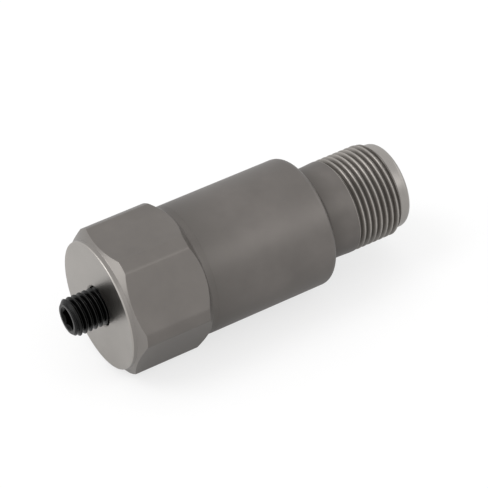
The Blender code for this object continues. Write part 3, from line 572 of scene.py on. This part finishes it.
def connector_shell():
    """Neck, helical thread and rounded nose outside, socket and keyway inside."""
    skin = new_skin("turned_steel")
    angles = shell_angles()
    groove = NECK_RADIUS - ROOT_GROOVE_DEPTH
    back = [
        (SHELL_BACK, REAR_BORE, 0.0),
        (SHELL_BACK, SHELL_SPIGOT_RADIUS, 0.0),
        (SHELL_SEAT, SHELL_SPIGOT_RADIUS, 0.0),
        (SHELL_SEAT, groove, 0.0),
        (SHELL_SEAT + ROOT_GROOVE_WIDTH, groove, ROOT_GROOVE_ROUND),
        (SHELL_SEAT + ROOT_GROOVE_WIDTH + ROOT_GROOVE_DEPTH, NECK_RADIUS, ROOT_GROOVE_ROUND),
        (THREAD_START - NECK_TAPER, NECK_RADIUS, 0.0),
        (THREAD_START - FINE_EDGE, SHELL_MAJOR, 0.0),
    ]
    back = soften([p[:2] for p in back], [p[2] for p in back])
    round_centre = (SHELL_END - NOSE_ROUND, NOSE_RADIUS - NOSE_ROUND)
    mouth = [
        *arc(*round_centre, NOSE_ROUND, 90, 0),
        (SHELL_END, SOCKET_RADIUS + SOCKET_MOUTH),
        (SHELL_END - SOCKET_MOUTH, SOCKET_RADIUS),
        (KEYWAY_STOP + FINE_EDGE, SOCKET_RADIUS),
    ]
    depths = [(KEYWAY_STOP, SOCKET_RADIUS), (SHELL_LEDGE, SOCKET_RADIUS), (SHELL_LEDGE, REAR_BORE)]

    def front(angle):
        key = keyway_radius(angle)
        points = [(NOSE_RING, NOSE_RADIUS)]
        if key:
            rise = key - round_centre[1]
            limit = round_centre[0] + math.sqrt(NOSE_ROUND ** 2 - rise ** 2)
            points += [(min(x, limit), max(radius, key)) for x, radius in mouth]
        else:
            points += mouth
        return points + depths

    def back_finish(low, high):
        return "neck_steel" if low[0] >= SHELL_SEAT else "turned_steel"

    def front_finish(low, high):
        outside = (low[1] + high[1]) / 2 > SOCKET_RADIUS + SOCKET_MOUTH / 2
        return "nose_steel" if outside else "turned_steel"

    def thread_finish(x, progress):
        if x > NOSE_START:
            return "nose_steel"
        return "neck_steel" if progress < LEAD_TURNS else "thread_steel"

    before = sweep(skin, angles, lambda angle: back, back_finish)
    after = sweep(skin, angles, front, front_finish)
    low = [column[-1] for column in before]
    high = [column[0] for column in after]
    sizes = (SHELL_MAJOR, SHELL_PITCH, SHELL_TURNS, THREAD_START)
    thread = Thread(*sizes, THREAD_FADE, 0.0, SHELL_CREST, SHELL_BLEND)
    helical_skin(skin, angles, low, high, thread, shell_outline, thread_finish)
    for k in range(len(angles)):
        j = (k + 1) % len(angles)
        face(skin, (after[k][-1], after[j][-1], before[j][0], before[k][0]), skin.plain)
    make_piece(skin, "threaded_connector", "connector_shell")


def stud_outline(x):
    """The stud's end plane and the chamfer behind it."""
    tip = STUD_MAJOR - STUD_CHAMFER
    depth = max(x, 0.0)
    return STUD_TIP + depth, min(STUD_MAJOR, tip + depth)


def threaded_stud():
    """Set screw: hexagon socket, chamfered tip and a thread that runs out through the chamfer."""
    skin = new_skin("black_oxide")
    angles = even_angles(STUD_COLUMNS)
    tip = STUD_MAJOR - STUD_CHAMFER
    socket_end = STUD_TIP + HEX_SOCKET_DEPTH
    rim = HEX_SOCKET_FLATS / math.sqrt(3.0)

    def end_section(angle):
        socket = hexagon_radius(angle, HEX_SOCKET_FLATS / 2, HEX_SOCKET_FLATS, HAIR)
        return [
            (socket_end + HEX_SOCKET_POINT, 0.0),
            (socket_end, HEX_SOCKET_FLATS / 2),
            (socket_end, socket),
            (STUD_TIP + HEX_SOCKET_SINK + (rim - socket), socket),
            (STUD_TIP, rim + HEX_SOCKET_SINK),
            (STUD_TIP, tip),
        ]

    def end_finish(low, high):
        return "worn_oxide" if high[0] <= STUD_TIP and low[1] > rim else "black_oxide"

    def thread_finish(x, progress):
        return "edge_oxide" if x < STUD_TIP + STUD_CHAMFER else "black_oxide"

    plain = [
        (STUD_TIP + STUD_THREAD_START + STUD_PITCH * (STUD_TURNS + STUD_LAND), STUD_MAJOR),
        (STUD_END - STUD_CHAMFER, STUD_MAJOR),
        (STUD_END, tip),
        (STUD_END, 0.0),
    ]
    before = sweep(skin, angles, end_section, end_finish)
    after = sweep(skin, angles, lambda angle: plain)
    low = [column[-1] for column in before]
    high = [column[0] for column in after]
    sizes = (STUD_MAJOR, STUD_PITCH, STUD_TURNS, STUD_THREAD_START)
    thread = Thread(*sizes, 0.0, THREAD_FADE, STUD_CREST, STUD_BLEND)
    helical_skin(skin, angles, low, high, thread, stud_outline, thread_finish)
    make_piece(skin, "threaded_stud", "mounting_stud")


def contact_pin(side, y):
    """Gold-plated pin with a shoulder behind the insulator and a rounded tip."""
    skin = new_skin("gold_plate_finish")
    start = PIN_LOW.x - BASE_X
    end = PIN_HIGH.x - BASE_X
    collar = start + PIN_TAIL_LENGTH - PIN_SHOULDER_LENGTH
    points = [
        (start, 0.0),
        (start, PIN_TAIL_RADIUS),
        (collar, PIN_TAIL_RADIUS),
        (collar, PIN_SHOULDER_RADIUS),
        (start + PIN_TAIL_LENGTH, PIN_SHOULDER_RADIUS),
        (start + PIN_TAIL_LENGTH, PIN_RADIUS),
        *arc(end - PIN_RADIUS, 0.0, PIN_RADIUS, 90, 0),
    ]
    sweep(skin, even_angles(PIN_COLUMNS), lambda angle: points)
    skin.points[:] = [(px, py + y, pz) for px, py, pz in skin.points]
    make_piece(skin, "pin_" + side, "contact_pin_" + side)


# Materials


def new_material(name, color, metallic, roughness):
    mat = bpy.data.materials.new(name)
    mat.use_nodes = True
    shader = mat.node_tree.nodes["Principled BSDF"]
    shader.inputs["Base Color"].default_value = (*color, 1.0)
    shader.inputs["Metallic"].default_value = metallic
    shader.inputs["Roughness"].default_value = roughness
    return mat


def add_node(mat, kind, **settings):
    node = mat.node_tree.nodes.new(kind)
    for key, value in settings.items():
        setattr(node, key, value)
    return node


def link(mat, output, target):
    mat.node_tree.links.new(output, target)


def math_node(mat, operation, first, second):
    """A Math node. Each operand is a socket or a number."""
    node = add_node(mat, "ShaderNodeMath", operation=operation)
    for place, value in enumerate((first, second)):
        if isinstance(value, (int, float)):
            node.inputs[place].default_value = value
        else:
            link(mat, value, node.inputs[place])
    return node.outputs[0]


def axis_distance(mat, place):
    """Distance from the sensing axis, from object coordinates."""
    split = add_node(mat, "ShaderNodeSeparateXYZ")
    link(mat, place, split.inputs[0])
    height = math_node(mat, "SUBTRACT", split.outputs["Z"], AXIS_HEIGHT)
    across = math_node(mat, "MULTIPLY", split.outputs["Y"], split.outputs["Y"])
    up = math_node(mat, "MULTIPLY", height, height)
    return math_node(mat, "SQRT", math_node(mat, "ADD", across, up), 0.0)


def lathe_coordinate(mat):
    """A length that grows along a turned surface, whichever way it slopes."""
    place = add_node(mat, "ShaderNodeTexCoord").outputs["Object"]
    split = add_node(mat, "ShaderNodeSeparateXYZ")
    link(mat, place, split.inputs[0])
    radius = math_node(mat, "MULTIPLY", axis_distance(mat, place), RADIUS_WEIGHT)
    return place, math_node(mat, "ADD", split.outputs["X"], radius)


def noise(mat, coordinate, scale, detail, dimensions="3D"):
    node = add_node(mat, "ShaderNodeTexNoise", noise_dimensions=dimensions)
    node.inputs["Scale"].default_value = scale
    node.inputs["Detail"].default_value = detail
    node.inputs["Roughness"].default_value = NOISE_ROUGHNESS
    link(mat, coordinate, node.inputs["W" if dimensions == "1D" else "Vector"])
    return node.outputs["Fac"]


def spread(mat, factor, low, high):
    """Map a noise factor onto a range."""
    node = add_node(mat, "ShaderNodeMapRange")
    node.inputs["From Min"].default_value = NOISE_RANGE[0]
    node.inputs["From Max"].default_value = NOISE_RANGE[1]
    node.inputs["To Min"].default_value = low
    node.inputs["To Max"].default_value = high
    link(mat, factor, node.inputs["Value"])
    return node.outputs["Result"]


def bump(mat, heights):
    """Bump nodes in a chain, from (height socket, distance) pairs."""
    normal = None
    for height, distance in heights:
        node = add_node(mat, "ShaderNodeBump")
        node.inputs["Strength"].default_value = 1.0
        node.inputs["Distance"].default_value = distance
        link(mat, height, node.inputs["Height"])
        if normal is not None:
            link(mat, normal, node.inputs["Normal"])
        normal = node.outputs["Normal"]
    link(mat, normal, mat.node_tree.nodes["Principled BSDF"].inputs["Normal"])


def tone(mat, factor, dark, light):
    """Base colour that drifts between two tones."""
    ramp = add_node(mat, "ShaderNodeMix", data_type="RGBA")
    ramp.inputs["A"].default_value = (*dark, 1.0)
    ramp.inputs["B"].default_value = (*light, 1.0)
    link(mat, factor, ramp.inputs["Factor"])
    link(mat, ramp.outputs["Result"], mat.node_tree.nodes["Principled BSDF"].inputs["Base Color"])


def rising(mat, value, low, high):
    """Factor that rises smoothly from 0 to 1 while the value goes from low to high."""
    node = add_node(mat, "ShaderNodeMapRange", interpolation_type="SMOOTHSTEP")
    node.inputs["From Min"].default_value = low
    node.inputs["From Max"].default_value = high
    link(mat, value, node.inputs["Value"])
    return node.outputs["Result"]


def painted_thread_light(mat, place):
    """Factor for the connector's thread: painted shade in its roots, painted highlight on its upper
    flanks and crests.
    """
    radius = axis_distance(mat, place)
    depth = THREAD_DEPTH * SHELL_PITCH
    root = SHELL_MAJOR - depth
    flank = rising(mat, radius, root + depth * PAINTED_SHADE_TOP, root + depth * PAINTED_LIT_FLANK)
    crest = rising(mat, radius, root + depth * PAINTED_CREST_HIGHLIGHT, SHELL_MAJOR)
    flank = math_node(mat, "MULTIPLY", flank, FLANK_SHARE)
    return math_node(mat, "ADD", flank, math_node(mat, "MULTIPLY", crest, 1.0 - FLANK_SHARE))


def painted_joint_shade(mat, place, start, end):
    """Factor that rises along the axis away from a joint: painted shade near the hexagon or the
    shoulder.
    """
    split = add_node(mat, "ShaderNodeSeparateXYZ")
    link(mat, place, split.inputs[0])
    return rising(mat, split.outputs["X"], BASE_X + start, BASE_X + end)


def metal_tone(mat, name, place, drift):
    """Factor between a metal's two tones: a slow drift, and on some pieces painted shade and a painted
    highlight that follow the place.
    """
    # Sleeve and neck: painted shade, darker near the hexagon or the shoulder
    if name in PAINTED_JOINT_SHADES:
        shade = painted_joint_shade(mat, place, *PAINTED_JOINT_SHADES[name])
    # The connector's thread gets painted shade in its roots and a painted highlight on its flanks and
    # crests
    elif name == "thread_steel":
        shade = painted_thread_light(mat, place)
    else:
        return spread(mat, drift, 0.0, 1.0)
    return math_node(mat, "MULTIPLY", shade, spread(mat, drift, SHADED_DRIFT, 1.0))


def surface_noises(mat):
    """Object coordinates with the tool lines and the grain that every finish has."""
    place, along = lathe_coordinate(mat)
    lines = noise(mat, along, TOOL_LINE_SCALE, TOOL_LINE_DETAIL, "1D")
    return place, lines, noise(mat, place, GRAIN_SCALE, GRAIN_DETAIL)


def metal(name):
    """Machined metal: fine tool lines, a faint grain and a slow drift of tone."""
    dark, light, roughness = METALS[name]
    mat = new_material(name, light, 1.0, roughness)
    shader = mat.node_tree.nodes["Principled BSDF"]
    place, lines, grain = surface_noises(mat)
    drift = noise(mat, place, DRIFT_SCALE, DRIFT_DETAIL)
    tone(mat, metal_tone(mat, name, place, drift), dark, light)
    slow = spread(mat, drift, roughness - GLOSS_DRIFT, roughness + GLOSS_DRIFT)
    rough = math_node(mat, "ADD", slow, spread(mat, lines, -GLOSS_LINES, GLOSS_LINES))
    link(mat, rough, shader.inputs["Roughness"])
    if name in ANISOTROPY:
        shader.inputs["Anisotropic"].default_value = ANISOTROPY[name]
        tangent = add_node(mat, "ShaderNodeTangent", direction_type="RADIAL", axis="X")
        link(mat, tangent.outputs[0], shader.inputs["Tangent"])
    bump(mat, [(lines, TOOL_LINE_DEPTH), (grain, GRAIN_DEPTH)])
    return mat


def oxide(name):
    """Blackened steel: an uneven black film with a low sheen, worn on the thread's crests."""
    film, worn, ior, roughness = OXIDES[name]
    mat = new_material(name, film, 0.0, roughness)
    shader = mat.node_tree.nodes["Principled BSDF"]
    shader.inputs["IOR"].default_value = ior
    place, lines, grain = surface_noises(mat)
    patches = noise(mat, place, PATCH_SCALE, DRIFT_DETAIL)
    wear = rising(mat, axis_distance(mat, place), *OXIDE_WEAR)
    wear = math_node(mat, "MULTIPLY", wear, spread(mat, patches, WORN_PATCH, 1.0))
    tone(mat, wear, film, worn)
    rough = spread(mat, patches, roughness - OXIDE_GLOSS, roughness + OXIDE_GLOSS)
    link(mat, rough, shader.inputs["Roughness"])
    bump(mat, [(lines, TOOL_LINE_DEPTH), (grain, GRAIN_DEPTH)])
    return mat


def finished(name):
    """The material of that name, made once."""
    if name in bpy.data.materials:
        return bpy.data.materials[name]
    return oxide(name) if name in OXIDES else metal(name)


def inner_finish(slot):
    """Finish for a node that keeps its CAD mesh: two tones, a grain and uneven gloss."""
    name = slot + "_inner"
    if name in bpy.data.materials:
        return bpy.data.materials[name]
    dark, light, metallic, roughness = INNER_FINISHES[slot]
    mat = new_material(name, light, metallic, roughness)
    place = add_node(mat, "ShaderNodeTexCoord").outputs["Object"]
    drift = noise(mat, place, INNER_DRIFT_SCALE, DRIFT_DETAIL)
    grain = noise(mat, place, GRAIN_SCALE, GRAIN_DETAIL)
    tone(mat, spread(mat, drift, 0.0, 1.0), dark, light)
    rough = spread(mat, grain, roughness - INNER_GLOSS, roughness + INNER_GLOSS)
    link(mat, rough, mat.node_tree.nodes["Principled BSDF"].inputs["Roughness"])
    bump(mat, [(grain, INNER_GRAIN_DEPTH)])
    return mat


def dress_inner_nodes():
    """Give every CAD node that stays its finished material."""
    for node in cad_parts.values():
        slots = node.material_slots
        if node.hide_render or not slots:
            continue
        name = slots[0].material.name.split(".")[0]
        slots[0].material = inner_finish(name)


# Floor, light and camera


def plane(name, size, place, mat):
    mesh = bpy.data.meshes.new(name)
    half = size / 2
    corners = [(-half, -half, 0), (half, -half, 0), (half, half, 0), (-half, half, 0)]
    mesh.from_pydata(corners, [], [(0, 1, 2, 3)])
    mesh.materials.append(mat)
    obj = bpy.data.objects.new(name, mesh)
    obj.location = place
    bpy.context.scene.collection.objects.link(obj)
    return obj


def floor_white():
    """White matt floor. What the camera, metal and glass see of it leans towards pure white."""
    mat = new_material("floor_white", FLOOR_COLOUR, 0.0, FLOOR_ROUGHNESS)
    rays = add_node(mat, "ShaderNodeLightPath").outputs
    tone(mat, rays["Is Camera Ray"], FLOOR_COLOUR, FLOOR_SEEN)
    mirrored = math_node(mat, "MAXIMUM", rays["Is Glossy Ray"], rays["Is Transmission Ray"])
    seen = math_node(mat, "MULTIPLY", rays["Is Camera Ray"], WHITE_SHARE)
    share = math_node(mat, "ADD", seen, math_node(mat, "MULTIPLY", mirrored, MIRRORED_WHITE_SHARE))
    white = add_node(mat, "ShaderNodeEmission")
    white.inputs["Strength"].default_value = 1.0
    mixed = add_node(mat, "ShaderNodeMixShader")
    link(mat, share, mixed.inputs[0])
    link(mat, mat.node_tree.nodes["Principled BSDF"].outputs[0], mixed.inputs[1])
    link(mat, white.outputs[0], mixed.inputs[2])
    link(mat, mixed.outputs[0], mat.node_tree.nodes["Material Output"].inputs["Surface"])
    return mat


def make_floor():
    plane("floor", FLOOR_SIZE, (0.0, 0.0, 0.0), floor_white())


def area_lamp(name, place, aim, width, height, power):
    lamp = bpy.data.lights.new(name, "AREA")
    lamp.shape = "RECTANGLE"
    lamp.size = width
    lamp.size_y = height
    lamp.energy = power
    obj = bpy.data.objects.new(name, lamp)
    obj.location = place
    obj.rotation_euler = (Vector(aim) - Vector(place)).to_track_quat("-Z", "Y").to_euler()
    bpy.context.scene.collection.objects.link(obj)


def make_world():
    """White dome, a little dimmer towards the horizon. The camera sees it pure white."""
    world = bpy.data.worlds.new("studio")
    world.use_nodes = True
    background = world.node_tree.nodes["Background"]
    background.inputs["Color"].default_value = (1.0, 1.0, 1.0, 1.0)
    split = add_node(world, "ShaderNodeSeparateXYZ")
    link(world, add_node(world, "ShaderNodeTexCoord").outputs["Generated"], split.inputs[0])
    dome = add_node(world, "ShaderNodeMapRange", interpolation_type="SMOOTHSTEP")
    dome.inputs["From Min"].default_value = DOME_RISE[0]
    dome.inputs["From Max"].default_value = DOME_RISE[1]
    dome.inputs["To Min"].default_value = HORIZON_LEVEL
    dome.inputs["To Max"].default_value = DOME_LEVEL
    link(world, split.outputs["Z"], dome.inputs["Value"])
    seen = add_node(world, "ShaderNodeLightPath").outputs["Is Camera Ray"]
    link(world, math_node(world, "MAXIMUM", dome.outputs["Result"], seen), background.inputs["Strength"])
    bpy.context.scene.world = world


def make_light():
    make_world()
    centre = (0.0, 0.0, AXIS_HEIGHT)
    for name, (place, width, height, power) in LAMPS.items():
        area_lamp(name, place, centre, width, height, power)


def make_camera():
    camera = bpy.data.cameras.new("camera")
    camera.sensor_width = SENSOR_WIDTH
    camera.lens = FOCAL_PIXELS * SENSOR_WIDTH / PHOTO_SIDE
    camera.clip_start = CLIP_START
    camera.clip_end = CLIP_END
    obj = bpy.data.objects.new("camera", camera)
    look = Vector(CAMERA_AIM).to_track_quat("-Z", "Y")
    roll = Matrix.Rotation(math.radians(CAMERA_ROLL), 4, "Z")
    obj.matrix_world = Matrix.Translation(CAMERA_PLACE) @ look.to_matrix().to_4x4() @ roll
    bpy.context.scene.collection.objects.link(obj)
    bpy.context.scene.camera = obj


hexagon_base()
body_sleeve()
connector_shell()
threaded_stud()
for pin_side, pin_y in (("a", -PIN_SPACING / 2), ("b", PIN_SPACING / 2)):
    contact_pin(pin_side, pin_y)
dress_inner_nodes()
make_floor()
make_light()
make_camera()
bpy.context.scene.view_settings.view_transform = "Standard"
